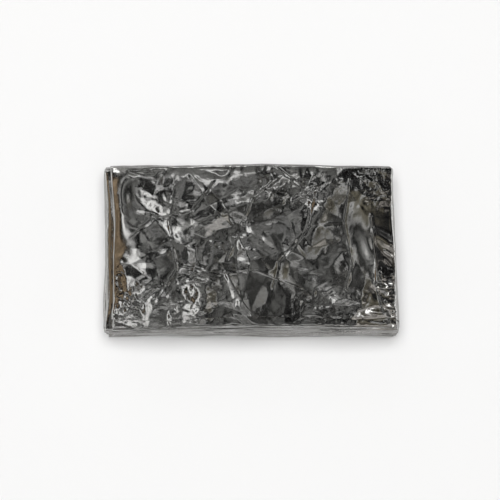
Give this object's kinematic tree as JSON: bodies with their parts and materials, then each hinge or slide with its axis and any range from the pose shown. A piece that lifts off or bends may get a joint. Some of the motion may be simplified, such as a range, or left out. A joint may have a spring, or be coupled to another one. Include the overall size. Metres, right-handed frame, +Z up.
{
  "type": "folded emergency foil blanket",
  "caption": "Emergency blanket of silvered film, pleated, doubled and fan-folded into a flat stack that lies on its underside.",
  "frame": {"origin": "middle of the underside's box, on the surface that the stack lies on", "axes": "+Z up through the stack, +X along the stack towards the end where the top layer rounds over, -Y towards the near long edge"},
  "size_m": [0.1353, 0.078, 0.0189],
  "materials": {
    "silver_film": "bright silvered plastic film, creased"
  },
  "bodies": {
    "root": {"blanket": "silver_film"}
  },
  "joints": []
}
